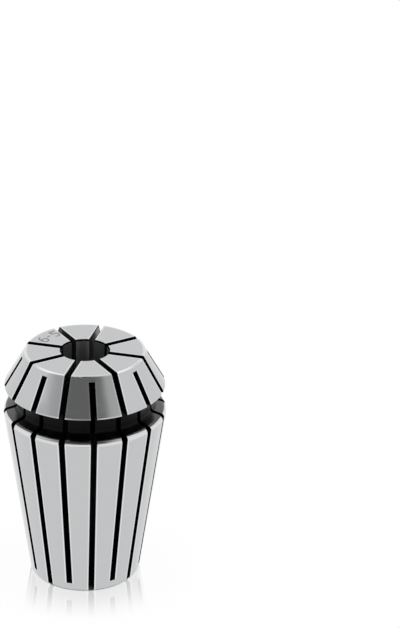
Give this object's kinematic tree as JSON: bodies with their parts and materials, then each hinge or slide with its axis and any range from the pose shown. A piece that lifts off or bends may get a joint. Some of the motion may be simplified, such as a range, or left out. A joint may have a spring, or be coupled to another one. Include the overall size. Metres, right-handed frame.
{
  "type": "er collet",
  "caption": "One-piece tapered spring collet, slotted in turn from both ends, with a steep nose cone, an extraction groove, a long tail taper and a round clamping bore.",
  "frame": {"origin": "centre of the small tail face, where the bore's axis meets the surface the collet stands on", "axes": "+Z along the bore's axis, from the small tail to the nose face; one of the slots cut from the tail is centred on -Y"},
  "size_m": [0.0208, 0.0208, 0.0315],
  "materials": {
    "collet_steel": "hardened spring steel, fine ground on the cones and faces, dark in the groove, slots and bore"
  },
  "bodies": {
    "root": {"collet": "collet_steel"}
  },
  "joints": []
}
